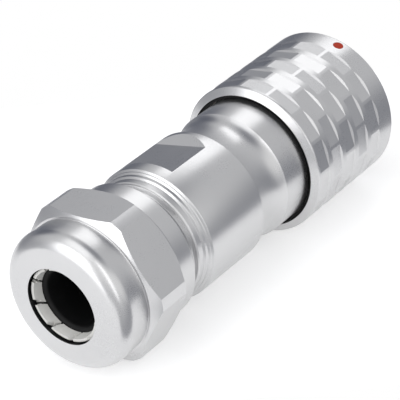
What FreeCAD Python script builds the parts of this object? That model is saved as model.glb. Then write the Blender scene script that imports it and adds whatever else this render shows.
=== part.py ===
import FreeCAD
import Part

import math
import os

os.makedirs("parts", exist_ok=True)

V = FreeCAD.Vector
ORIGIN = V(0, 0, 0)
X_AXIS = V(1, 0, 0)
Z_AXIS = V(0, 0, 1)

# The plug lies along X. The mating end looks to +X and the cable end to -X.
# The origin is on the axis, in the front face of the nose. Angles run about X, from +Z towards -Y.
# All sizes are in millimetres.

# Named clearances
seat_gap = 0.05
running_gap = 0.15
wiper_gap = 0.10
thread_gap = 0.05

# Coupling sleeve
sleeve_diameter = 26.0
sleeve_length = 22.4
sleeve_lead = 0.6
sleeve_travel = 2.0
sleeve_wall = 1.4
sleeve_rim_length = 0.5
sleeve_rim_wall = 1.35
sleeve_rear_chamfer = 0.65
sleeve_front_chamfer = 0.25
lip_length = 0.65
shoulder_length = 0.6
shoulder_height = 0.4

# Brick facets milled into the sleeve
brick_rows = 5
bricks_per_row = 15
brick_pitch = 3.72
brick_length = 2.47
brick_width = 4.89
brick_end_slope = 32.0
brick_setback = 4.0
brick_angle = 29.8

# Index dot
dot_diameter = 1.75
dot_setback = 1.43
dot_depth = 0.5
dot_angle = 20.1

# Nose tube with its guiding land, keyways and latch windows
socket_width = 2.4
nose_wall = 0.8
nose_chamfer = 0.2
nose_land_length = 2.4
nose_relief = 0.2
socket_depth = 11.6
key_flange_length = 1.6
keyways = ((2.4, 0.0), (1.4, 90.0), (1.4, 270.0))
keyway_depth = 0.4
window_gap = 0.3

# Latch collet and its hooks
collet_wall = 0.65
collet_setback = 2.4
collet_flange_length = 1.15
collet_overhang = 4.0
finger_count = 4
finger_width = 3.4
finger_slot = 0.8
finger_length = 12.3
hook_length = 1.8
hook_setback = 1.3
hook_height = 1.4
hook_width = 3.0

# Insert: two insulators and their contacts
cavity_depth = 8.0
front_insulator_length = 6.0
rear_insulator_length = 5.9
contact_count = 8
contact_edge = 3.15
pin_diameter = 1.3
pin_length = 6.4
barrel_diameter = 2.0
cup_length = 3.3
cup_bore = 1.4
cup_depth = 2.4
carrier_wall = 1.35
carrier_flange_length = 1.15
carrier_split = 0.3

# Plug body: spigot, collar and waisted neck
collar_clearance = 0.65
collar_exposed = 5.1
spigot_step = 1.35
neck_length = 7.05
neck_depth = 1.05
neck_rear_step = 0.25
neck_waist = 2.35
neck_turn = 4.6
neck_turn_step = 0.58
neck_wall = 1.05
stop_ring_length = 0.7
stop_ring_height = 0.6
stop_ring_opening = 2.0
stop_land = 0.8

# Return spring
spring_wire = 0.7
spring_clearance = 0.45
spring_turns = 3.5

# Wiper ring and face seal
wiper_length = 0.6
wiper_depth = 0.45
face_seal_length = 0.75

# Backshell
backshell_diameter = 22.4
backshell_length = 12.85
tenon_wall = 1.4
backshell_neck_bore = 12.4
backshell_cone_length = 2.0
backshell_chamfer = 0.25
backshell_front_edge = 0.2
tenon_length = 5.0
flats_width = 20.0
flats_length = 8.4
flats_setback = 2.55
flats_end_slope = 70.0
flats_angle = -9.5
thread_root_diameter = 18.9
thread_relief_diameter = 17.6
thread_relief_length = 0.3
shoulder_diameter = 20.2
shoulder_land = 0.9
shoulder_cone_length = 1.6
exposed_length = 4.83
boss_chamfer = 0.4
boss_length = 13.6
boss_wall = 1.1
seal_pocket_length = 8.3
o_ring_section = 0.85
o_ring_setback = 1.5

# Shield cone
cone_flange_length = 2.45
cone_length = 4.6
cone_wall = 0.9
cone_taper = 0.5

# Gland nut
nut_length = 17.77
hex_width = 24.0
hex_corner_diameter = 26.6
dome_length = 6.1
dome_diameter = 22.9
dome_round = 2.5
dome_slope = 6.0
waist_diameter = 22.2
waist_length = 1.6
lip_land = 0.5
hex_base_diameter = 23.4
hex_rear_chamfer = 30.0
hex_front_chamfer = 40.0
flange_diameter = 22.7
flange_length = 3.57
flange_chamfer = 0.25
aperture_diameter = 12.2
aperture_edge = 0.35
aperture_land = 0.4
nut_bore_diameter = 18.5
nut_cone_length = 5.45
thread_diameter = 20.0

# Clamp cage
finger_tip_setback = 0.45
finger_tip_diameter = 11.9
cage_lip_diameter = 11.3
cage_lip_length = 1.8
cage_bore_diameter = 12.5
cage_cone_length = 4.4
cage_relief_diameter = 16.0
cage_flange_diameter = 18.0
cage_flange_length = 0.85
cage_ring_length = 5.4
slit_count = 9
slit_angle = 35.0
slit_width = 0.35
slit_slant = 33.0
slit_length = 7.3
notch_width = 1.1
notch_length = 1.0
cutter_margin = 1.5

# Cable seal
seal_bore_diameter = 9.5
seal_edge = 0.6
seal_flange_length = 2.4
seal_washer_length = 0.35
seal_washer_bore = 10.4

# Stations along X, worked out from the sizes above
x_rim = sleeve_lead - sleeve_length
x_collar = x_rim - collar_exposed
x_neck = x_collar - neck_length
x_backshell = x_neck - backshell_length
x_flange = x_backshell - exposed_length
x_nut = x_flange - nut_length
x_socket = -socket_depth
x_key_rear = x_socket - key_flange_length
x_lip = x_rim + sleeve_rim_length + wiper_length + seat_gap * 2
x_stop = x_lip + lip_length + wiper_gap
x_spring_seat = x_stop + stop_ring_length + stop_land
x_spigot = x_key_rear - sleeve_travel - wiper_gap
x_collet_front = -collet_setback
x_hook_front = x_collet_front - hook_setback
x_hook_rear = x_hook_front - hook_length
x_insert = -cavity_depth
x_insert_split = x_insert - front_insulator_length
x_rear_insulator = x_insert_split - seat_gap - rear_insulator_length
x_collet_flange = x_rear_insulator - seat_gap - collet_overhang
x_carrier_flange = x_collet_flange - collet_flange_length - seat_gap
x_cone_flange = x_carrier_flange - carrier_flange_length - seat_gap
x_tenon = x_neck + tenon_length
x_boss = x_backshell - boss_length
x_shoulder = x_backshell - shoulder_cone_length - shoulder_land
x_pocket = x_boss + seal_pocket_length

# Radii that follow from the sizes above
r_sleeve = sleeve_diameter / 2
r_mouth = r_sleeve - sleeve_wall
r_rim = r_sleeve - sleeve_rim_wall
r_nose = r_mouth - socket_width
r_nose_relief = r_nose - nose_relief
r_nose_bore = r_nose - nose_wall
r_collet = r_nose_bore - running_gap
r_collet_bore = r_collet - collet_wall
r_insert = r_collet_bore - seat_gap
r_contacts = r_insert - contact_edge
r_collar = r_mouth - collar_clearance
r_spigot = r_collar - spigot_step
r_spring = r_spigot + spring_clearance + spring_wire / 2
r_neck = r_collar - neck_depth
r_body_bore = r_neck - neck_wall
r_body_flange = r_body_bore - seat_gap
r_tenon = r_body_bore - seat_gap
r_carrier_bore = r_insert - carrier_wall
r_boss = thread_root_diameter / 2
r_pocket = r_boss - boss_wall
r_key_flange = r_mouth - seat_gap


def turned(start, *steps):
    """A solid of revolution about X. A step is a point (x, r) or an arc (middle point, end point)."""
    edges = []
    here = V(start[0], 0, start[1])
    for step in steps + (start,):
        if isinstance(step[0], tuple):
            middle = V(step[0][0], 0, step[0][1])
            there = V(step[1][0], 0, step[1][1])
            edges.append(Part.Arc(here, middle, there).toShape())
        else:
            there = V(step[0], 0, step[1])
            edges.append(Part.makeLine(here, there))
        here = there
    return Part.Face(Part.Wire(edges)).revolve(ORIGIN, X_AXIS, 360)


def ring(x_rear, x_front, r_in, r_out):
    """A plain ring between two stations."""
    return turned((x_rear, r_in), (x_rear, r_out), (x_front, r_out), (x_front, r_in))


def block(x_rear, x_front, width, z_low, z_high):
    """A box across the axis, centred on Y."""
    return Part.makeBox(x_front - x_rear, width, z_high - z_low, V(x_rear, -width / 2, z_low))


def rolled(shape, angle):
    """The shape turned about the plug's axis."""
    copy = shape.copy()
    copy.rotate(ORIGIN, X_AXIS, angle)
    return copy


def around(shape, count, first_angle=0.0):
    """Equal copies of a shape round the plug's axis."""
    return [rolled(shape, first_angle + 360.0 * k / count) for k in range(count)]


def arc_middle(centre, radius, angle_from, angle_to):
    """The middle point of an arc, given its centre, its radius and its two end angles in degrees."""
    angle = math.radians((angle_from + angle_to) / 2)
    return (centre[0] + radius * math.cos(angle), centre[1] + radius * math.sin(angle))


def save(name, *solids):
    """Writes one sub-part to its own STEP file."""
    shape = solids[0] if len(solids) == 1 else Part.makeCompound(list(solids))
    shape.exportStep("parts/" + name + ".step")


# Brick facets: flats along the axis, square at the rear and with a sloped end at the front
def brick_cutters():
    height = 1.0
    r_flat = math.sqrt(r_sleeve ** 2 - (brick_width / 2) ** 2)
    slope_length = height / math.tan(math.radians(brick_end_slope))
    side = Part.makePolygon([
        V(0, -brick_width / 2, r_flat),
        V(-brick_length, -brick_width / 2, r_flat),
        V(-brick_length, -brick_width / 2, r_flat + height),
        V(slope_length, -brick_width / 2, r_flat + height),
        V(0, -brick_width / 2, r_flat),
    ])
    cutter = Part.Face(side).extrude(V(0, brick_width, 0))
    pitch_angle = 360.0 / bricks_per_row
    cutters = []
    for row in range(brick_rows):
        placed = cutter.copy()
        placed.translate(V(sleeve_lead - brick_setback - row * brick_pitch, 0, 0))
        stagger = pitch_angle / 2 * (row % 2)
        cutters += around(placed, bricks_per_row, brick_angle + stagger)
    return cutters


def dot_hole(radius, r_floor):
    hole = Part.makeCylinder(radius, r_sleeve + 1 - r_floor, V(sleeve_lead - dot_setback, 0, r_floor), Z_AXIS)
    return rolled(hole, dot_angle)


# Coupling sleeve: the sliding grip, with the wiper's groove, the stop lip and the nose tube's shoulder
def coupling_sleeve():
    r_lip = r_collar + running_gap
    r_groove = r_rim + wiper_depth
    x_groove = x_rim + sleeve_rim_length
    x_shoulder = x_key_rear - seat_gap
    blank = turned(
        (x_rim, r_rim),
        (x_rim + sleeve_rear_chamfer, r_sleeve),
        (sleeve_lead - sleeve_front_chamfer, r_sleeve),
        (sleeve_lead, r_sleeve - sleeve_front_chamfer),
        (sleeve_lead, r_mouth + sleeve_front_chamfer),
        (sleeve_lead - sleeve_front_chamfer, r_mouth),
        (x_shoulder, r_mouth),
        (x_shoulder, r_mouth - shoulder_height),
        (x_shoulder - shoulder_length, r_mouth - shoulder_height),
        (x_shoulder - shoulder_length, r_mouth),
        (x_lip + lip_length, r_mouth),
        (x_lip + lip_length, r_lip),
        (x_lip, r_lip),
        (x_lip, r_groove),
        (x_groove, r_groove),
        (x_groove, r_rim),
    )
    return blank.cut(brick_cutters() + [dot_hole(dot_diameter / 2, r_sleeve - dot_depth)])


def index_dot():
    plug = dot_hole(dot_diameter / 2 - seat_gap / 2, r_sleeve - dot_depth + seat_gap / 2)
    return plug.common(ring(-sleeve_length, sleeve_length, 1, r_sleeve))


def wiper_ring():
    x_rear = x_rim + sleeve_rim_length + seat_gap
    r_outer = r_rim + wiper_depth - seat_gap
    return ring(x_rear, x_rear + wiper_length, r_collar + wiper_gap, r_outer)


# Key sleeve: the nose tube with its guiding land, screwed into the coupling sleeve
def key_sleeve():
    r_outer = r_key_flange
    tube = turned(
        (x_key_rear, r_nose_bore),
        (x_key_rear, r_outer),
        (x_socket, r_outer),
        (x_socket, r_nose_relief),
        (-nose_land_length, r_nose_relief),
        (-nose_land_length, r_nose),
        (-nose_chamfer, r_nose),
        (0, r_nose - nose_chamfer),
        (0, r_nose_bore),
    )
    window = block(
        x_hook_rear - window_gap,
        x_hook_front + sleeve_travel + window_gap,
        hook_width + 2 * window_gap,
        r_nose_bore - 1,
        r_nose + 1,
    )
    cutters = around(window, finger_count, dot_angle + 180.0 / finger_count)
    for width, angle in keyways:
        keyway = block(x_socket, 1, width, r_nose - keyway_depth, r_nose + 1)
        cutters.append(rolled(keyway, dot_angle + angle))
    return tube.cut(cutters)


def interface_seal():
    x_rear = x_socket + seat_gap
    return ring(x_rear, x_rear + face_seal_length, r_nose_relief + 2 * seat_gap, r_mouth - 2 * seat_gap)


# Latch collet: a slit spring tube with hooks that stand out through the nose tube's windows
def latch_collet():
    tube = turned(
        (x_collet_flange - collet_flange_length, r_collet_bore),
        (x_collet_flange - collet_flange_length, r_body_flange),
        (x_collet_flange, r_body_flange),
        (x_collet_flange, r_collet),
        (x_collet_front, r_collet),
        (x_collet_front, r_collet_bore),
    )
    r_hook = r_collet + hook_height
    hook_side = Part.makePolygon([
        V(x_hook_rear, -hook_width / 2, r_collet - collet_wall / 2),
        V(x_hook_rear, -hook_width / 2, r_hook),
        V(x_hook_front - hook_height / 2, -hook_width / 2, r_hook),
        V(x_hook_front, -hook_width / 2, r_collet + hook_height / 3),
        V(x_hook_front, -hook_width / 2, r_collet - collet_wall / 2),
        V(x_hook_rear, -hook_width / 2, r_collet - collet_wall / 2),
    ])
    hook = Part.Face(hook_side).extrude(V(0, hook_width, 0))
    first_angle = dot_angle + 180.0 / finger_count
    collet = tube.fuse(around(hook, finger_count, first_angle)).removeSplitter()
    slots = []
    for side in (-1, 1):
        slot = block(x_collet_front - finger_length, 0, finger_slot, r_collet_bore - 1, r_collet + 1)
        slot.translate(V(0, side * (finger_width + finger_slot) / 2, 0))
        slots += around(slot, finger_count, first_angle)
    return collet.cut(slots)


# Insert: contacts held between two insulators, and the two half shells behind them
def contact_holes(x_rear, x_front, radius):
    hole = Part.makeCylinder(radius, x_front - x_rear, V(x_rear, 0, r_contacts), X_AXIS)
    return around(hole, contact_count, dot_angle)


def front_insulator():
    body = ring(x_insert_split, x_insert, 0, r_insert)
    return body.cut(contact_holes(x_insert_split - 1, x_insert + 1, pin_diameter / 2 + seat_gap))


def rear_insulator():
    x_front = x_insert_split - seat_gap
    body = ring(x_rear_insulator, x_front, 0, r_insert)
    return body.cut(contact_holes(x_rear_insulator - 1, x_front + 1, barrel_diameter / 2 + seat_gap))


def contact_pins():
    r_pin = pin_diameter / 2
    r_barrel = barrel_diameter / 2
    x_tip = x_insert + pin_length
    x_step = x_insert_split - seat_gap
    x_cup = x_rear_insulator - cup_length
    pin = turned(
        (x_cup, cup_bore / 2),
        (x_cup, r_barrel),
        (x_step, r_barrel),
        (x_step, r_pin),
        (x_tip - r_pin, r_pin),
        ((x_tip - r_pin * (1 - math.sin(math.radians(45))), r_pin * math.cos(math.radians(45))), (x_tip, 0)),
        (x_cup + cup_depth, 0),
        (x_cup + cup_depth, cup_bore / 2),
    )
    pin.translate(V(0, 0, r_contacts))
    return around(pin, contact_count, dot_angle)


def insert_carrier():
    x_rear = x_carrier_flange - carrier_flange_length
    shell = turned(
        (x_rear, r_carrier_bore),
        (x_rear, r_body_flange),
        (x_carrier_flange, r_body_flange),
        (x_carrier_flange, r_insert),
        (x_rear_insulator - seat_gap, r_insert),
        (x_rear_insulator - seat_gap, r_carrier_bore),
    )
    gap = block(x_rear - 1, 0, 2 * r_body_flange + 1, -carrier_split / 2, carrier_split / 2)
    return shell.cut(gap).Solids


# Plug body: spigot for the spring, collar for the sleeve to slide on, waisted neck
def plug_body():
    r_groove = r_collar - stop_ring_height
    waist = (x_neck + neck_waist, r_neck)
    turn = (x_neck + neck_turn, r_collar - neck_turn_step)
    shoulder = ((turn[0] + x_collar) / 2, r_collar - neck_turn_step / 6)
    return turned(
        (x_neck, r_body_bore),
        (x_neck, r_collar - neck_rear_step),
        (waist, turn),
        (shoulder, (x_collar, r_collar)),
        (x_stop, r_collar),
        (x_stop, r_groove),
        (x_stop + stop_ring_length + seat_gap, r_groove),
        (x_stop + stop_ring_length + seat_gap, r_collar),
        (x_spring_seat, r_collar),
        (x_spring_seat, r_spigot),
        (x_spigot, r_spigot),
        (x_spigot, r_collet + seat_gap),
        (x_collet_flange + seat_gap, r_collet + seat_gap),
        (x_collet_flange + seat_gap, r_body_bore),
    )


def stop_ring():
    x_rear = x_stop + seat_gap / 2
    r_inner = r_collar - stop_ring_height + seat_gap
    body = ring(x_rear, x_rear + stop_ring_length, r_inner, r_mouth - running_gap)
    return body.cut(block(x_rear - 1, x_rear + 2, stop_ring_opening, -r_mouth, 0))


# Return spring: a coil of square wire between the plug body's shoulder and the nose tube's flange
def return_spring():
    rise = x_key_rear - x_spring_seat - spring_wire - 2 * seat_gap
    path = Part.makeHelix(rise / spring_turns, rise, r_spring)
    half = spring_wire / 2
    section = Part.makePolygon([
        V(r_spring - half, 0, -half),
        V(r_spring + half, 0, -half),
        V(r_spring + half, 0, half),
        V(r_spring - half, 0, half),
        V(r_spring - half, 0, -half),
    ])
    coil = Part.Wire(path.Edges).makePipeShell([section], True, True)
    coil.rotate(ORIGIN, V(0, 1, 0), 90)
    coil.translate(V(x_spring_seat + half + seat_gap, 0, 0))
    return coil


# Shield cone: a flanged cone that clamps the cable's braid against the backshell's tenon
def shield_cone():
    x_step = x_cone_flange - cone_flange_length
    return turned(
        (x_step - cone_length, r_carrier_bore),
        (x_step - cone_length, r_carrier_bore + cone_wall - cone_taper),
        (x_step, r_carrier_bore + cone_wall),
        (x_step, r_body_flange),
        (x_cone_flange, r_body_flange),
        (x_cone_flange, r_carrier_bore),
    )


# Backshell: tenon, cylinder with two wrench flats, and the boss that the nut is screwed on
def o_ring_centre():
    return x_neck + o_ring_setback, r_tenon - o_ring_section / 2


def backshell():
    r_outer = backshell_diameter / 2
    r_bore = r_tenon - tenon_wall
    r_small = backshell_neck_bore / 2
    r_relief = thread_relief_diameter / 2
    x_ring, r_ring = o_ring_centre()
    groove_half = o_ring_section / 2 + seat_gap
    r_groove = r_ring - o_ring_section / 2 - seat_gap
    blank = turned(
        (x_boss, r_pocket),
        (x_boss, r_boss - boss_chamfer),
        (x_boss + boss_chamfer, r_boss),
        (x_shoulder - thread_relief_length, r_boss),
        (x_shoulder - thread_relief_length, r_relief),
        (x_shoulder, r_relief),
        (x_shoulder, shoulder_diameter / 2),
        (x_shoulder + shoulder_land, shoulder_diameter / 2),
        (x_backshell, r_outer - backshell_chamfer),
        (x_backshell + backshell_chamfer, r_outer),
        (x_neck - backshell_front_edge, r_outer),
        (x_neck, r_outer - backshell_front_edge),
        (x_neck, r_tenon),
        (x_ring - groove_half, r_tenon),
        (x_ring - groove_half, r_groove),
        (x_ring + groove_half, r_groove),
        (x_ring + groove_half, r_tenon),
        (x_tenon, r_tenon),
        (x_tenon, r_bore),
        (x_backshell + backshell_cone_length, r_bore),
        (x_backshell, r_small),
        (x_pocket, r_small),
        (x_pocket, r_pocket),
    )
    x_flat_front = x_neck - flats_setback
    r_flat = flats_width / 2
    end_run = (r_outer - r_flat) / math.tan(math.radians(flats_end_slope))
    flat_side = Part.makePolygon([
        V(x_flat_front, -r_outer, r_flat),
        V(x_flat_front - flats_length, -r_outer, r_flat),
        V(x_flat_front - flats_length, -r_outer, r_outer + (r_outer - r_flat)),
        V(x_flat_front + 2 * end_run, -r_outer, r_outer + (r_outer - r_flat)),
        V(x_flat_front, -r_outer, r_flat),
    ])
    flat = Part.Face(flat_side).extrude(V(0, backshell_diameter, 0))
    return blank.cut(around(flat, 2, flats_angle))


def backshell_o_ring():
    x_ring, r_ring = o_ring_centre()
    section = Part.Wire([Part.makeCircle(o_ring_section / 2, V(x_ring, 0, r_ring), V(0, 1, 0))])
    return Part.Face(section).revolve(ORIGIN, X_AXIS, 360)


# Gland nut: dome, waist, hexagon and flange, with the cone that closes the clamp fingers
def cone_radius(x):
    """The radius of the nut's inner cone at a station."""
    x_start = x_nut + aperture_edge + aperture_land
    slope = (nut_bore_diameter - aperture_diameter) / 2 / nut_cone_length
    return aperture_diameter / 2 + (x - x_start) * slope


def gland_nut():
    r_aperture = aperture_diameter / 2
    r_dome = dome_diameter / 2
    r_waist = waist_diameter / 2
    r_corner = hex_corner_diameter / 2
    r_base = hex_base_diameter / 2
    r_flange = flange_diameter / 2
    r_thread = thread_diameter / 2 + thread_gap
    slope = math.radians(dome_slope)
    r_edge = r_aperture + aperture_edge
    centre_r = r_dome - dome_round
    tangent_r = centre_r + dome_round * math.sin(slope)
    tangent_x = x_nut + (tangent_r - r_edge) * math.tan(slope)
    centre = (tangent_x + dome_round * math.cos(slope), centre_r)
    x_hex = x_nut + dome_length
    x_cone = x_nut + aperture_edge + aperture_land
    x_lip_end = centre[0] + lip_land
    x_waist = x_hex - waist_length
    bend = 2 * math.atan2(r_dome - r_waist, x_waist - x_lip_end)
    bend_radius = (x_waist - x_lip_end) / 2 / math.sin(bend)
    bend_run = bend_radius * math.sin(bend / 2)
    bend_drop = bend_radius * (1 - math.cos(bend / 2))
    x_land_rear = x_hex + (r_corner - r_base) * math.tan(math.radians(hex_rear_chamfer))
    x_front_flange = x_flange - flange_length
    x_land_front = x_front_flange - (r_corner - r_flange) * math.tan(math.radians(hex_front_chamfer))
    blank = turned(
        (x_nut + aperture_edge, r_aperture),
        (arc_middle((x_nut + aperture_edge, r_edge), aperture_edge, 180, 270), (x_nut, r_edge)),
        (tangent_x, tangent_r),
        (arc_middle(centre, dome_round, 180 - dome_slope, 90), (centre[0], r_dome)),
        (x_lip_end, r_dome),
        ((x_lip_end + bend_run, r_dome - bend_drop), ((x_lip_end + x_waist) / 2, (r_dome + r_waist) / 2)),
        ((x_waist - bend_run, r_waist + bend_drop), (x_waist, r_waist)),
        (x_hex, r_waist),
        (x_hex, r_base),
        (x_land_rear, r_corner),
        (x_land_front, r_corner),
        (x_front_flange, r_flange),
        (x_flange - flange_chamfer, r_flange),
        (x_flange, r_flange - flange_chamfer),
        (x_flange, r_thread + flange_chamfer),
        (x_flange - flange_chamfer, r_thread),
        (x_boss - running_gap, r_thread),
        (x_boss - running_gap, nut_bore_diameter / 2),
        (x_cone + nut_cone_length, nut_bore_diameter / 2),
        (x_cone, r_aperture),
    )
    hexagon = Part.makePolygon([
        V(x_nut - 1, hex_width / math.sqrt(3) * math.sin(math.radians(30 + 60 * k)),
          hex_width / math.sqrt(3) * math.cos(math.radians(30 + 60 * k)))
        for k in range(7)
    ])
    return blank.common(Part.Face(hexagon).extrude(V(nut_length + 2, 0, 0)))


# Clamp cage: slit fingers that close on the seal, a flange on the boss's end and a ring in its bore
def clamp_cage():
    gap = running_gap
    x_tip = x_nut + finger_tip_setback
    x_cone = x_nut + aperture_edge + aperture_land + gap
    x_cone_end = x_cone + cage_cone_length
    x_flange_front = x_boss - seat_gap
    x_flange_rear = x_flange_front - cage_flange_length
    r_relief = cage_relief_diameter / 2
    body = turned(
        (x_tip, cage_lip_diameter / 2),
        (x_tip, finger_tip_diameter / 2),
        (x_cone, cone_radius(x_cone) - gap),
        (x_cone_end, cone_radius(x_cone_end) - gap),
        (x_cone_end + gap, r_relief),
        (x_flange_rear, r_relief),
        (x_flange_rear, cage_flange_diameter / 2),
        (x_flange_front, cage_flange_diameter / 2),
        (x_flange_front, r_pocket - running_gap / 2),
        (x_flange_front + cage_ring_length, r_pocket - running_gap / 2),
        (x_flange_front + cage_ring_length, cage_bore_diameter / 2),
        (x_tip + cage_lip_length, cage_bore_diameter / 2),
        (x_tip + cage_lip_length, cage_lip_diameter / 2),
    )
    r_inner = cage_lip_diameter / 2 - cutter_margin
    slit = block(x_tip - cutter_margin, x_tip + slit_length, slit_width, r_inner, cage_flange_diameter / 2)
    slit.rotate(V(x_tip + cage_lip_length, 0, 0), Z_AXIS, slit_slant)
    notch_face = Part.makePolygon([
        V(x_tip - cutter_margin, -notch_width / 2, r_inner),
        V(x_tip, -notch_width / 2, r_inner),
        V(x_tip + notch_length, 0, r_inner),
        V(x_tip, notch_width / 2, r_inner),
        V(x_tip - cutter_margin, notch_width / 2, r_inner),
        V(x_tip - cutter_margin, -notch_width / 2, r_inner),
    ])
    notch = Part.Face(notch_face).extrude(V(0, 0, 2 * cutter_margin))
    notch.translate(V(0, -(cage_lip_length - notch_length / 2) * math.tan(math.radians(slit_slant)), 0))
    return body.cut(around(slit, slit_count, slit_angle) + around(notch, slit_count, slit_angle))


# Cable seal: a rubber sleeve with a rounded entry and a flange at its inner end
def cable_seal():
    r_bore = seal_bore_diameter / 2
    r_body = cage_bore_diameter / 2 - seat_gap
    x_entry = x_nut + finger_tip_setback + cage_lip_length + seat_gap
    x_step = x_boss + cage_ring_length
    x_end = x_step + seal_flange_length
    edge_corner = (x_entry + seal_edge, r_bore + seal_edge)
    return turned(
        (x_entry + seal_edge, r_bore),
        (arc_middle(edge_corner, seal_edge, 180, 270), (x_entry, r_bore + seal_edge)),
        (x_entry, r_body),
        (x_step, r_body),
        (x_step, r_pocket - running_gap),
        (x_end, r_pocket - running_gap),
        (x_end, r_bore),
    )


def seal_washer():
    x_front = x_pocket - seat_gap
    return ring(x_front - seal_washer_length, x_front, seal_washer_bore / 2, r_pocket - seat_gap)


save("coupling_sleeve", coupling_sleeve())
save("index_dot", index_dot())
save("wiper_ring", wiper_ring())
save("key_sleeve", key_sleeve())
save("interface_seal", interface_seal())
save("latch_collet", latch_collet())
save("front_insulator", front_insulator())
save("rear_insulator", rear_insulator())
save("contact_pins", *contact_pins())
save("insert_carrier", *insert_carrier())
save("plug_body", plug_body())
save("stop_ring", stop_ring())
save("return_spring", return_spring())
save("shield_cone", shield_cone())
save("backshell", backshell())
save("backshell_o_ring", backshell_o_ring())
save("gland_nut", gland_nut())
save("clamp_cage", clamp_cage())
save("cable_seal", cable_seal())
save("seal_washer", seal_washer())
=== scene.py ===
import math

import bmesh
import bpy
from mathutils import Matrix, Vector
from mathutils.geometry import interpolate_bezier


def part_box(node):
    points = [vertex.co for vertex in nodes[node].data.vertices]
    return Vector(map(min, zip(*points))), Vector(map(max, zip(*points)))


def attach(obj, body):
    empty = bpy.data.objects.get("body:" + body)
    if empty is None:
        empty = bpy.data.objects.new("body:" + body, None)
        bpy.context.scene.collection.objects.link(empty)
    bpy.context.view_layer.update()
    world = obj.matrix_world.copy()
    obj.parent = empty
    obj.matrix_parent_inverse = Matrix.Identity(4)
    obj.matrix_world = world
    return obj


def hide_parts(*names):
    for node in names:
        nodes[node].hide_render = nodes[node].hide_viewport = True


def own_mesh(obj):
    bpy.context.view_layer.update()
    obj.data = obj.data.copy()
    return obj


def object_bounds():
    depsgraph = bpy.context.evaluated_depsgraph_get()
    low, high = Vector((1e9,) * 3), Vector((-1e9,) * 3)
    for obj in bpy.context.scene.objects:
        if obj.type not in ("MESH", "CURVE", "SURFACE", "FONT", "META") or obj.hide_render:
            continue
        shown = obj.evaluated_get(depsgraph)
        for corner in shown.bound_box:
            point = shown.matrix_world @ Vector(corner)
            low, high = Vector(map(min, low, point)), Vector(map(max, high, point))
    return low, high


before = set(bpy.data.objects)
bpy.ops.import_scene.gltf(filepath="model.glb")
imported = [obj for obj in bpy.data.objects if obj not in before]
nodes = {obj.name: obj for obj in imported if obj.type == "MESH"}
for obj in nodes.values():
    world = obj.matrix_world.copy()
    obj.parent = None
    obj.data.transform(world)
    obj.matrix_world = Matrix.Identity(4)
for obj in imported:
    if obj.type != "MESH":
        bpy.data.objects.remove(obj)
cad_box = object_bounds()
mm = 0.001


# Gland nut: turned from hexagon bar, domed at the cable end and blasted to a satin before it is chrome plated.
# It screws onto the backshell's thread and presses the clamp fingers together with its inner cone.
class Value:
    """A shader socket that takes part in sums, so that an expression makes its own Math nodes."""

    def __init__(self, wiring, socket):
        self.wiring = wiring
        self.socket = socket

    def join(self, operation, first, second):
        return self.wiring.node("ShaderNodeMath", {"operation": operation}, {0: first, 1: second})

    def __add__(self, other):
        return self.join("ADD", self, other)

    def __radd__(self, other):
        return self.join("ADD", other, self)

    def __sub__(self, other):
        return self.join("SUBTRACT", self, other)

    def __rsub__(self, other):
        return self.join("SUBTRACT", other, self)

    def __mul__(self, other):
        return self.join("MULTIPLY", self, other)

    def __rmul__(self, other):
        return self.join("MULTIPLY", other, self)


class Wiring:
    """A node tree that expressions write their nodes into."""

    def __init__(self, tree):
        self.tree = tree

    def node(self, kind, settings=None, inputs=None, output=0):
        """Adds a node with these settings, and these values or links in its sockets, and gives its output."""
        made = self.tree.nodes.new(kind)
        for key, value in (settings or {}).items():
            setattr(made, key, value)
        for key, value in (inputs or {}).items():
            if isinstance(value, Value):
                self.tree.links.new(value.socket, made.inputs[key])
            else:
                made.inputs[key].default_value = value
        return Value(self, made.outputs[output])


class Finish(Wiring):
    """A material with one Principled shader, which gets its constants here and its patterns from expressions."""

    def __init__(self, name, **constants):
        self.material = bpy.data.materials.new(name)
        self.material.use_nodes = True
        super().__init__(self.material.node_tree)
        self.shader = self.tree.nodes["Principled BSDF"]
        for socket, value in constants.items():
            self.shader.inputs[socket.replace("_", " ")].default_value = value

    def feed(self, socket, value):
        self.tree.links.new(value.socket, self.shader.inputs[socket])

    def place(self, stretch):
        """Object coordinates in millimetres, stretched along each axis."""
        spot = self.node("ShaderNodeTexCoord", output="Object")
        scale = tuple(s / mm for s in stretch)
        return self.node("ShaderNodeMapping", {}, {"Vector": spot, "Scale": scale})

    def cloud(self, size, stretch=(1.0, 1.0, 1.0), detail=3.0, roughness=0.5):
        """Noise from 0 to 1 with patches of about this many millimetres."""
        return self.node(
            "ShaderNodeTexNoise",
            {},
            {"Vector": self.place(stretch), "Scale": 1.0 / size, "Detail": detail, "Roughness": roughness},
        )

    def colour(self, pattern, first, second):
        """A base colour between two, by a pattern from 0 to 1."""
        tone = self.node(
            "ShaderNodeMix", {"data_type": "RGBA"},
            {"Factor": pattern, "A": (*first, 1.0), "B": (*second, 1.0)},
            output="Result",
        )
        self.feed("Base Color", tone)

    def relief(self, height, depth):
        """A bump of this many millimetres, where height is 0 to 1."""
        self.feed("Normal", self.node("ShaderNodeBump", {}, {"Height": height, "Distance": depth * mm}))


def satin_chrome(name, ring_depth, grain_depth):
    """Matt chrome over turned metal: faint rings of the cutting tool under a fine blasted grain."""
    finish = Finish(name, Metallic=1.0)
    smear = finish.cloud(9.0, detail=4.0, roughness=0.6)
    grain = finish.cloud(0.12, detail=2.0)
    rings = finish.cloud(0.35, stretch=(1.0, 0.04, 0.04), detail=2.0)
    finish.colour(smear, (0.605, 0.605, 0.615), (0.67, 0.67, 0.67))
    finish.feed("Roughness", 0.235 + smear * 0.06 + grain * 0.035)
    finish.relief(rings * (ring_depth / grain_depth) + grain, grain_depth)
    return finish.material


def dress(node, material):
    """Gives a CAD node this material in all its slots."""
    thing = nodes[node]
    for slot in thing.material_slots:
        slot.material = material
    if not thing.material_slots:
        thing.data.materials.append(material)


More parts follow.
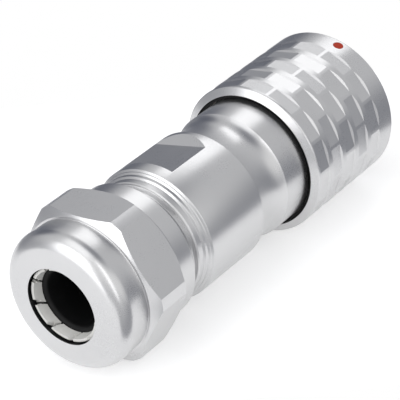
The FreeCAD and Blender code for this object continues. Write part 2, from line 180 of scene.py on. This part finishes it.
lathe_steps = 240
weld_gap = 0.0001


def lathe(*corners):
    """A turned solid. A corner of its outline is (station, radius, rounding), in millimetres."""
    mesh = bmesh.new()
    points = [mesh.verts.new((x * mm, 0.0, r * mm)) for x, r, rounding in corners]
    mesh.faces.new(points)
    for point, (x, r, rounding) in zip(points, corners):
        if rounding:
            bmesh.ops.bevel(
                mesh, geom=[point], offset=rounding * mm, segments=4 + int(rounding * 8),
                profile=0.5, affect="VERTICES", material=-1,
            )
    bmesh.ops.delete(mesh, geom=mesh.faces[:], context="FACES_ONLY")
    bmesh.ops.spin(
        mesh, geom=mesh.verts[:] + mesh.edges[:], cent=(0.0, 0.0, 0.0), axis=(1.0, 0.0, 0.0),
        angle=math.tau, steps=lathe_steps, use_merge=True,
    )
    bmesh.ops.remove_doubles(mesh, verts=mesh.verts[:], dist=weld_gap * mm)
    bmesh.ops.recalc_face_normals(mesh, faces=mesh.faces[:])
    return mesh


def placed(name, mesh):
    """Puts a finished mesh into the scene as an object."""
    data = bpy.data.meshes.new(name)
    mesh.to_mesh(data)
    mesh.free()
    thing = bpy.data.objects.new(name, data)
    bpy.context.scene.collection.objects.link(thing)
    return thing


def piece(thing, material, body, slot, *replaced, crease=12.0):
    """Smooths an object but for its edges, gives it its material and ties it to the frame."""
    thing.data.shade_smooth()
    thing.data.set_sharp_from_angle(angle=math.radians(crease))
    thing.data.materials.clear()
    thing.data.materials.append(material)
    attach(thing, body)
    for node in replaced:
        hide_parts(node)


shell_chrome = satin_chrome("shell_chrome", ring_depth=0.004, grain_depth=0.002)

nut_rear = -69.4
nut_front = -51.85
nut_opening = 6.3
dome_radius = 11.45
hexagon_step = -63.3
hexagon_corner = 13.3
across_flats = 24.0
flange_radius = 11.35
thread_bore = 10.05
thread_end = -60.55
cone_mouth = 9.25

nut_mesh = lathe(
    (nut_rear, nut_opening, 0.06),
    (-68.874, dome_radius, 2.25),
    (-66.2, dome_radius, 1.0),
    (hexagon_step, 11.25, 0.1),
    (hexagon_step, 11.62, 0.06),
    (-62.376, hexagon_corner, 0.0),
    (-56.836, hexagon_corner, 0.0),
    (-55.2, flange_radius, 0.2),
    (nut_front, flange_radius, 0.3),
    (nut_front, thread_bore, 0.1),
    (thread_end, thread_bore, 0.0),
    (thread_end, cone_mouth, 0.0),
    (-63.2, cone_mouth, 0.0),
)
for side in range(6):
    facing = Vector((0.0, math.sin(math.tau * side / 6), math.cos(math.tau * side / 6)))
    sliced = bmesh.ops.bisect_plane(
        nut_mesh, geom=nut_mesh.verts[:] + nut_mesh.edges[:] + nut_mesh.faces[:], dist=weld_gap * mm,
        plane_co=facing * across_flats / 2 * mm, plane_no=facing, clear_outer=True,
    )
    rim = [part for part in sliced["geom_cut"] if isinstance(part, bmesh.types.BMEdge)]
    bmesh.ops.edgeloop_fill(nut_mesh, edges=rim)
bmesh.ops.recalc_face_normals(nut_mesh, faces=nut_mesh.faces[:])
nut = placed("hexagon_nut", nut_mesh)
piece(nut, shell_chrome, "clamping_nut", "satin_chrome", "gland_nut")

# Painted shade: the faces of the nut's opening, inner cone and bore that face the axis get a near-black metal, so that
# the gap behind the opening reads dark.
bore_painted_shade = Finish("bore_painted_shade", Metallic=1.0, Roughness=0.45)
bore_painted_shade.colour(bore_painted_shade.cloud(0.8), (0.05, 0.05, 0.052), (0.10, 0.10, 0.105))
nut.data.materials.append(bore_painted_shade.material)
for face in nut.data.polygons:
    outward = Vector((0.0, face.center.y, face.center.z))
    between = nut_rear + 0.02 < face.center.x / mm < thread_end - 0.05
    if between and outward.length < (cone_mouth + 0.05) * mm:
        face.material_index = int(face.normal.dot(outward) < 0.0)


# Clamp cage: one moulding in pale grey plastic, whose nine fingers close round the cable.
# It stands in the boss of the backshell and shows through the nut's opening.
def rotate(mesh, angle, axis="X", cent=(0.0, 0.0, 0.0), parts=None):
    """Turns a mesh, or some of its points, by an angle in degrees."""
    matrix = Matrix.Rotation(math.radians(angle), 3, axis)
    bmesh.ops.rotate(mesh, cent=cent, matrix=matrix, verts=parts or mesh.verts)


def bar(corners, width, angle=0.0):
    """A straight cutter: its side view in (station, height) corners, its width across, its turn about the axis."""
    mesh = bmesh.new()
    side = mesh.faces.new([mesh.verts.new((x * mm, -width / 2 * mm, z * mm)) for x, z in corners])
    grown = bmesh.ops.extrude_face_region(mesh, geom=[side])["geom"]
    moved = [part for part in grown if isinstance(part, bmesh.types.BMVert)]
    bmesh.ops.translate(mesh, vec=(0.0, width * mm, 0.0), verts=moved)
    bmesh.ops.recalc_face_normals(mesh, faces=mesh.faces[:])
    rotate(mesh, angle)
    return mesh


def repeat(mesh, count):
    """Sets out copies of a cutter round the axis, evenly."""
    bmesh.ops.spin(
        mesh, geom=mesh.verts[:] + mesh.edges[:] + mesh.faces[:], cent=(0.0, 0.0, 0.0), axis=(1.0, 0.0, 0.0),
        angle=math.tau * (count - 1) / count, steps=count - 1, use_duplicate=True,
    )


def cut(thing, cutter_mesh):
    """Takes a cutter away from an object."""
    cutter = placed("cutter", cutter_mesh)
    step = thing.modifiers.new("cut", "BOOLEAN")
    step.operation = "DIFFERENCE"
    step.solver = "EXACT"
    step.object = cutter
    ready = thing.evaluated_get(bpy.context.evaluated_depsgraph_get())
    thing.data = bpy.data.meshes.new_from_object(ready)
    thing.modifiers.clear()
    bpy.data.objects.remove(cutter)


cage_plastic = Finish("cage_plastic", Roughness=0.42)
cage_plastic.colour(cage_plastic.cloud(1.5), (0.64, 0.635, 0.61), (0.74, 0.735, 0.71))
cage_plastic.relief(cage_plastic.cloud(0.2), 0.004)

finger_count = 9
finger_tip = -68.8
finger_lip = -67.15
finger_root = 8.0
rim_rear = -61.3
rim_front = -60.45
rim_radius = 9.0
skirt_front = -55.05
skirt_radius = 8.27
seal_room = 6.25

cage = placed("finger_cage", lathe(
    (finger_tip, 5.72, 0.05),
    (finger_tip, 6.15, 0.05),
    (-64.1, 8.55, 0.0),
    (-63.95, finger_root, 0.0),
    (rim_rear, finger_root, 0.0),
    (rim_rear, rim_radius, 0.0),
    (rim_front, rim_radius, 0.0),
    (rim_front, skirt_radius, 0.0),
    (skirt_front, skirt_radius, 0.0),
    (skirt_front, seal_room, 0.0),
    (finger_lip, seal_room, 0.0),
    (finger_lip, 5.5, 0.0),
))

saw_start = -71.0
saw_inner = 4.2
saw_outer = 9.2
saw_slant = 33.0
saw_bearing = 8.0
slit_end = -61.65
slit_width = 0.33
notch_end = -68.2
notch_width = 0.8

# The notches are cut before the slits: the other way round, a wall of one finger is left out now and then.
for end, width in ((notch_end, notch_width), (slit_end, slit_width)):
    saw = bar([(saw_start, saw_inner), (end, saw_inner), (end, saw_outer), (saw_start, saw_outer)], width)
    rotate(saw, saw_slant, "Z", cent=(finger_lip * mm, 0.0, 0.0))
    rotate(saw, saw_bearing)
    repeat(saw, finger_count)
    cut(cage, saw)
piece(cage, cage_plastic.material, "clamp_insert", "grey_plastic", "clamp_cage")

# Cable seal: a black rubber sleeve, moulded, which sits loose inside the fingers and is squeezed onto the cable.
# The wiper in the coupling sleeve's rear, the face seal in the socket and the O ring are of the same rubber.
seal_rubber = Finish("seal_rubber", Roughness=0.6, Specular_IOR_Level=0.2)
seal_rubber.colour(seal_rubber.cloud(1.2), (0.003, 0.003, 0.0033), (0.007, 0.007, 0.0075))
seal_rubber.relief(seal_rubber.cloud(0.15), 0.006)
for name in ("cable_seal", "wiper_ring", "interface_seal", "backshell_o_ring"):
    dress(name, seal_rubber.material)

# Backshell: turned like the nut, with a tenon that is pressed into the plug body and the boss for the nut.
# Three small steps lead from the boss to the barrel, and two flats are milled across the barrel for a spanner.
boss_rear = -60.4
boss_front = -49.35
boss_radius = 9.45
boss_bore = 8.35
boss_floor = -52.1
barrel_radius = 11.2
body_seam = -33.95
tenon_radius = 8.8
tenon_front = -28.95
ring_groove_rear = -32.925
ring_groove_front = -31.975
ring_groove_floor = 7.9
wire_bore = 7.4
throat_bore = 6.2

shell = placed("backshell_turned", lathe(
    (boss_rear, boss_bore, 0.0),
    (boss_rear, 9.05, 0.0),
    (-60.0, boss_radius, 0.0),
    (boss_front, boss_radius, 0.0),
    (boss_front, 9.9, 0.0),
    (-49.15, 10.1, 0.04),
    (-48.2, 10.1, 0.03),
    (-47.98, 10.44, 0.05),
    (-47.52, 10.48, 0.03),
    (-47.32, 10.8, 0.05),
    (-47.2, 10.84, 0.0),
    (-46.98, barrel_radius, 0.08),
    (body_seam, barrel_radius, 0.2),
    (body_seam, tenon_radius, 0.0),
    (ring_groove_rear, tenon_radius, 0.0),
    (ring_groove_rear, ring_groove_floor, 0.0),
    (ring_groove_front, ring_groove_floor, 0.0),
    (ring_groove_front, tenon_radius, 0.0),
    (tenon_front, tenon_radius, 0.2),
    (tenon_front, wire_bore, 0.0),
    (-44.8, wire_bore, 0.0),
    (-46.8, throat_bore, 0.0),
    (boss_floor, throat_bore, 0.0),
    (boss_floor, boss_bore, 0.0),
))

spanner_size = 20.0
spanner_bearing = -9.5
flat_rear = -44.9
flat_front = -36.5
slope_front = -33.1
slope_top = 12.4
cutter_width = 22.6

flat_height = spanner_size / 2
side_view = [(flat_rear, flat_height), (flat_front, flat_height), (slope_front, slope_top), (flat_rear, slope_top)]
for side in (0.0, 180.0):
    cut(shell, bar(side_view, cutter_width, spanner_bearing + side))
piece(shell, shell_chrome, "plug_core", "satin_chrome", "backshell")

# Thread: a right-hand fine thread of 1 mm pitch, cut on the boss.
# Its crests are a little flat and carry the nut along as it turns.
thread_pitch = 1.0
thread_start = -60.1
thread_root = 9.4
thread_crest = 9.97
thread_steps = 120
thread_turns = 10.125

thread_mesh = bmesh.new()
tooth = [
    thread_mesh.verts.new(((thread_start + x) * mm, 0.0, r * mm))
    for x, r in ((0.0, thread_root), (0.4, thread_crest), (0.54, thread_crest), (0.94, thread_root))
]
bmesh.ops.spin(
    thread_mesh, geom=[thread_mesh.faces.new(tooth)], cent=(0.0, 0.0, 0.0), axis=(1.0, 0.0, 0.0),
    dvec=(thread_pitch / thread_steps * mm, 0.0, 0.0), angle=math.tau * thread_turns,
    steps=int(thread_steps * thread_turns),
)
bmesh.ops.recalc_face_normals(thread_mesh, faces=thread_mesh.faces[:])
thread = placed("boss_thread", thread_mesh)
piece(thread, shell_chrome, "plug_core", "satin_chrome")


# Plug body: the waisted grip and the round collar that the sleeve slides on, turned from one bar.
# The waist is one hollow that is deepest at its middle and rises to a crisp edge at the collar.
def fair(start, middle, end, points=24):
    """Corners along a fair curve through three points of an outline."""
    first, half, last = (Vector((x, 0.0, r)) for x, r in (start, middle, end))
    pull = 2.0 * half - (first + last) / 2.0
    handles = (first + (pull - first) * 2.0 / 3.0, last + (pull - last) * 2.0 / 3.0)
    return [(p.x, p.z, 0.0) for p in interpolate_bezier(first, *handles, last, points)]


waist_rear = (body_seam, 11.0)
waist_middle = (-29.6, 10.25)
collar_edge = (-27.1, 10.95)
collar_radius = collar_edge[1]
collar_front = -18.35
snap_groove_rear = -19.85
snap_groove_front = -19.1
snap_groove_floor = 10.35
spigot_front = -15.3
spigot_radius = 9.6
collet_bore = 8.3
tenon_bore = 8.85
bore_step = -23.95

body_turned = placed("body_turned", lathe(
    (body_seam, tenon_bore, 0.0),
    *fair(waist_rear, (-31.49, 10.4375), waist_middle),
    *fair(waist_middle, (-28.225, 10.425), collar_edge)[1:],
    (snap_groove_rear, collar_radius, 0.0),
    (snap_groove_rear, snap_groove_floor, 0.0),
    (snap_groove_front, snap_groove_floor, 0.0),
    (snap_groove_front, collar_radius, 0.0),
    (collar_front, collar_radius, 0.0),
    (collar_front, spigot_radius, 0.0),
    (spigot_front, spigot_radius, 0.0),
    (spigot_front, collet_bore, 0.0),
    (bore_step, collet_bore, 0.0),
    (bore_step, tenon_bore, 0.0),
))
piece(body_turned, shell_chrome, "plug_core", "satin_chrome", "plug_body")

# Coupling sleeve: turned, then milled with five rows of staggered flats for grip, and plated last.
# Each flat has a square wall at its rear and runs out in a slope at its front.
sleeve_front = 0.6
sleeve_radius = 13.0
sleeve_bore = 11.6
sleeve_mouth = 11.65
nose_shoulder_front = -13.25
nose_shoulder_rear = -13.85
nose_shoulder_bore = 11.2
stop_lip_front = -19.95
stop_lip_rear = -20.6
stop_lip_bore = 11.1
wiper_room = 12.1
wiper_room_rear = -21.3

sleeve = placed("brick_sleeve", lathe(
    (-21.8, sleeve_mouth, 0.12),
    (-21.15, sleeve_radius, 0.2),
    (sleeve_front, sleeve_radius, 0.25),
    (sleeve_front, sleeve_bore, 0.2),
    (nose_shoulder_front, sleeve_bore, 0.0),
    (nose_shoulder_front, nose_shoulder_bore, 0.0),
    (nose_shoulder_rear, nose_shoulder_bore, 0.0),
    (nose_shoulder_rear, sleeve_bore, 0.0),
    (stop_lip_front, sleeve_bore, 0.0),
    (stop_lip_front, stop_lip_bore, 0.0),
    (stop_lip_rear, stop_lip_bore, 0.0),
    (stop_lip_rear, wiper_room, 0.0),
    (wiper_room_rear, wiper_room, 0.0),
    (wiper_room_rear, sleeve_mouth, 0.05),
))

bricks_around = 15
brick_front = -3.4
brick_pitch = 3.72
brick_length = 2.47
brick_width = 5.2
brick_slope = 1.6
brick_floor = 12.768
brick_clear = 13.768
brick_bearing = 29.8
brick_stagger = 12.0

for rows in ((0, 2, 4), (1, 3)):
    mills = bmesh.new()
    for row in rows:
        front = brick_front - row * brick_pitch
        rear = front - brick_length
        side_view = [
            (front, brick_floor), (rear, brick_floor), (rear, brick_clear), (front + brick_slope, brick_clear)
        ]
        mill = bar(side_view, brick_width, brick_bearing + brick_stagger * (row % 2))
        repeat(mill, bricks_around)
        holder = bpy.data.meshes.new("mill_row")
        mill.to_mesh(holder)
        mill.free()
        mills.from_mesh(holder)
    cut(sleeve, mills)

dot_hole = 0.875
dot_station = -0.83
dot_bearing = 20.1
drill_height = 13.5
drill_length = 2.0

drill = bmesh.new()
bmesh.ops.create_cone(
    drill, cap_ends=True, segments=48, radius1=dot_hole * mm, radius2=dot_hole * mm, depth=drill_length * mm
)
bmesh.ops.translate(drill, vec=(dot_station * mm, 0.0, drill_height * mm), verts=drill.verts)
rotate(drill, dot_bearing)
cut(sleeve, drill)
piece(sleeve, shell_chrome, "grip_sleeve", "satin_chrome", "coupling_sleeve", crease=3.0)

# Key sleeve: the nose tube with its keyways and the windows of the latch, screwed into the coupling sleeve.
# It is turned and milled, and plated with the sleeve.
dress("key_sleeve", shell_chrome)

# Index dot: red enamel in a drilled hole in line with the master key.
# It is dropped in after plating and dries a little dull.
dot_enamel = Finish("dot_enamel", Roughness=0.5, Specular_IOR_Level=0.2)
dot_enamel.colour(dot_enamel.cloud(0.3), (0.34, 0.022, 0.006), (0.44, 0.04, 0.012))
dress("index_dot", dot_enamel.material)

# Insert: turned and gold plated pins, held in two moulded carriers.
# The front carrier shows in the socket at the nose, and the rear one faces the cable.
pin_gold = Finish("pin_gold", Metallic=1.0)
gold_haze = pin_gold.cloud(0.6)
pin_gold.colour(gold_haze, (0.78, 0.55, 0.20), (0.86, 0.63, 0.28))
pin_gold.feed("Roughness", 0.18 + gold_haze * 0.12)
dress("contact_pins", pin_gold.material)

carrier_plastic = Finish("carrier_plastic", Roughness=0.5)
carrier_plastic.colour(carrier_plastic.cloud(1.2), (0.36, 0.29, 0.20), (0.43, 0.36, 0.26))
carrier_plastic.relief(carrier_plastic.cloud(0.15), 0.003)
dress("front_insulator", carrier_plastic.material)
dress("rear_insulator", carrier_plastic.material)

# Inner metal: the latch collet, the half shells round the insert, the shield cone, the snap ring and the washer.
# All are turned or stamped, and nickel plated.
inner_nickel = Finish("inner_nickel", Metallic=1.0)
nickel_haze = inner_nickel.cloud(2.0)
inner_nickel.colour(nickel_haze, (0.55, 0.52, 0.47), (0.64, 0.61, 0.56))
inner_nickel.feed("Roughness", 0.24 + nickel_haze * 0.1)
for name in ("latch_collet", "insert_carrier", "shield_cone", "stop_ring", "seal_washer"):
    dress(name, inner_nickel.material)

# Return spring: three and a half turns of steel wire between the plug body's shoulder and the key sleeve.
# In the real plug it gets shorter by the sleeve's stroke when the sleeve is drawn back; here it is built at one length.
spring_low, spring_high = (Vector(corner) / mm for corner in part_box("return_spring"))
spring_length = spring_high.x - spring_low.x
wire = 0.7
coil_steps = 72
coil_turns = 3.5

coil_mesh = bmesh.new()
wire_end = bmesh.ops.create_circle(coil_mesh, cap_ends=True, segments=16, radius=wire / 2 * mm)["verts"]
rotate(coil_mesh, 90.0, parts=wire_end)
bmesh.ops.translate(
    coil_mesh, vec=((spring_low.x + wire / 2) * mm, 0.0, (spring_high.z - wire / 2) * mm), verts=wire_end
)
bmesh.ops.spin(
    coil_mesh, geom=coil_mesh.faces[:], cent=(0.0, 0.0, 0.0), axis=(1.0, 0.0, 0.0),
    dvec=((spring_length - wire) / (coil_steps * coil_turns) * mm, 0.0, 0.0), angle=math.tau * coil_turns,
    steps=int(coil_steps * coil_turns),
)
bmesh.ops.recalc_face_normals(coil_mesh, faces=coil_mesh.faces[:])
coil = placed("coil_spring", coil_mesh)
piece(coil, inner_nickel.material, "plug_core", "spring_steel", "return_spring", crease=40.0)
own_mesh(coil)

# Studio: a pale table and four soft lights in a grey room that is brighter on the camera's side.
# One light stands behind the plug, a large one and a tall one behind the camera, and one hangs above its left side.
view_focal = 1882.89
picture_width = 400
sensor_width = 36.0
axis_swing = 0.846
axis_lift = 0.657
nut_face = Vector((-20.118, 15.533, 272.385))
hexagon_roll = math.radians(8.17)

along = Vector((
    math.sin(axis_swing) * math.cos(axis_lift),
    -math.sin(axis_swing) * math.sin(axis_lift),
    math.cos(axis_swing),
))
tilt_down = math.atan(math.tan(axis_swing) * math.sin(axis_lift))
plumb = Vector((0.0, -math.cos(tilt_down), -math.sin(tilt_down)))
across = plumb.cross(along)
z_axis = math.cos(hexagon_roll) * plumb + math.sin(hexagon_roll) * across
y_axis = math.cos(hexagon_roll) * across - math.sin(hexagon_roll) * plumb
origin = nut_face - nut_rear * along
seen = Matrix((along, y_axis, z_axis))
turn = seen @ Matrix.Diagonal((1.0, -1.0, -1.0))

camera_data = bpy.data.cameras.new("camera")
camera_data.sensor_width = sensor_width
camera_data.lens = view_focal / picture_width * sensor_width
camera_data.clip_start = 0.01
camera_data.clip_end = 20.0
camera = bpy.data.objects.new("camera", camera_data)
camera.matrix_world = Matrix.Translation(-(seen @ origin) * mm) @ turn.to_4x4()
bpy.context.scene.collection.objects.link(camera)
bpy.context.scene.camera = camera


def toward(bearing, height):
    """A direction, by its bearing from the view direction to the right and its height above level, in degrees."""
    ahead = seen @ (Vector((0.0, 0.0, 1.0)) - plumb * plumb.z)
    ahead.normalize()
    level = math.radians(bearing)
    rise = math.radians(height)
    flat_way = ahead * math.cos(level) + seen @ Vector((1.0, 0.0, 0.0)) * math.sin(level)
    return flat_way * math.cos(rise) + seen @ plumb * math.sin(rise)


middle = Vector((-0.035, 0.0, 0.0))
table_corners = ((-110, -120), (66, -120), (66, 48), (-36, 48), (-36, -12), (-110, -20))
table_rounding = 12
table_drop = 0.2

table_mesh = bmesh.new()
for ahead, right in table_corners:
    spot = middle + toward(0, 0) * ahead * mm + toward(90, 0) * right * mm
    table_mesh.verts.new((spot.x, spot.y, cad_box[0][2] - table_drop * mm))
table_mesh.faces.new(table_mesh.verts[:])
bmesh.ops.bevel(
    table_mesh, geom=table_mesh.verts[:], offset=table_rounding * mm, segments=8,
    profile=0.5, affect="VERTICES", material=-1,
)
table = placed("table", table_mesh)

table_paint = Finish("table_paint", Roughness=0.9, Specular_IOR_Level=0.1, Emission_Strength=1.0)
table_paint.colour(table_paint.cloud(20.0), (0.85, 0.85, 0.85), (0.87, 0.87, 0.87))
to_camera = table_paint.node("ShaderNodeLightPath", output="Is Camera Ray")
to_metal = table_paint.node("ShaderNodeLightPath", output="Is Glossy Ray")
table_paint.feed("Emission Color", to_camera * 0.4 + to_metal * 0.32)
table.data.materials.append(table_paint.material)


def softbox(name, bearing, height, width, depth, brightness):
    """A soft light a metre off, turned to the plug, with its sides in metres."""
    way = toward(bearing, height)
    lamp = bpy.data.lights.new(name, "AREA")
    lamp.shape = "RECTANGLE"
    lamp.size = width
    lamp.size_y = depth
    lamp.energy = brightness * math.pi * width * depth
    holder = bpy.data.objects.new(name, lamp)
    holder.location = middle + way
    holder.rotation_euler = (-way).to_track_quat("-Z", "Y").to_euler()
    bpy.context.scene.collection.objects.link(holder)


softbox("back_softbox", 14, 41, 0.5, 0.34, brightness=1.12)
softbox("key_softbox", -127, 14, 0.78, 1.1, brightness=1.7)
softbox("top_softbox", -112, 69, 0.75, 0.7, brightness=0.8)
softbox("rear_softbox", 161, 34, 0.2, 1.05, brightness=1.35)

world = bpy.data.worlds.new("room")
world.use_nodes = True
bpy.context.scene.world = world
room = Wiring(world.node_tree)
direction = room.node("ShaderNodeTexCoord", output="Generated")


def near(bearing, height, inner, outer):
    """1 within the inner angle of a direction, which fades to 0 at the outer angle, in degrees."""
    facing = room.node(
        "ShaderNodeVectorMath", {"operation": "DOT_PRODUCT"}, {0: direction, 1: toward(bearing, height)}, output="Value"
    )
    return room.node(
        "ShaderNodeMapRange",
        {"interpolation_type": "SMOOTHSTEP"},
        {"Value": facing, "From Min": math.cos(math.radians(outer)), "From Max": math.cos(math.radians(inner))},
    )


wall_light = 0.4
ceiling = near(0, 90, 55, 95) * 0.3
ceiling_gap = near(68, 74, 8, 27) * 0.45
lit_wall = near(170, 22, 25, 62) * 0.27
lit_corner = near(112, 22, 6, 30) * 0.3
dark_door = near(-36, 22, 4, 23) * 0.85
dark_floor = near(-12, -2, 8, 24) * 0.6
dark_skirting = near(-52, -2, 6, 24) * 0.25
dim_corner = near(80, -2, 8, 28) * 0.08

gloom = dark_door + dark_floor + dark_skirting
light = (wall_light + ceiling - ceiling_gap + lit_wall + lit_corner) * (1.0 - gloom) - dim_corner
seen_white = room.node("ShaderNodeLightPath", output="Is Camera Ray")
backdrop = room.node(
    "ShaderNodeMix", {"data_type": "RGBA"},
    {"Factor": light + seen_white * (1.0 - light), "A": (0.0, 0.012, 0.055, 1.0), "B": (1.0, 1.0, 1.0, 1.0)},
    output="Result",
)
room.tree.links.new(backdrop.socket, room.tree.nodes["Background"].inputs["Color"])

bpy.context.scene.view_settings.view_transform = "Standard"
